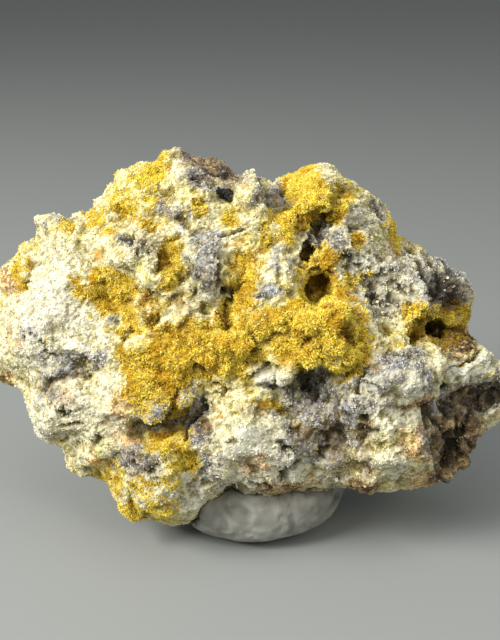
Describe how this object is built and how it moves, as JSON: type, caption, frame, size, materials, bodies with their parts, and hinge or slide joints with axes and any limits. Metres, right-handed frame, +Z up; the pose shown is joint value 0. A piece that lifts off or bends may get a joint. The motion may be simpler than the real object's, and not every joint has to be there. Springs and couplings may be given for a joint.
{
  "type": "parsonsite and pyromorphite mineral specimen",
  "caption": "Small rock specimen with a yellow parsonsite crust, cream pyromorphite and grey matrix, stood upright on a pad of grey putty.",
  "frame": {"origin": "middle of the putty's flat foot, on the surface that the specimen stands on", "axes": "+X along the stone's length, to the right as the crusted face is looked at; -Y the way that face looks; +Z up"},
  "size_m": [0.0449, 0.0244, 0.0322],
  "materials": {
    "crusted_stone": "rough, sugary crust",
    "grey_putty": "matte, hand kneaded"
  },
  "bodies": {
    "root": {"matrix": "crusted_stone", "putty": "grey_putty"}
  },
  "joints": []
}
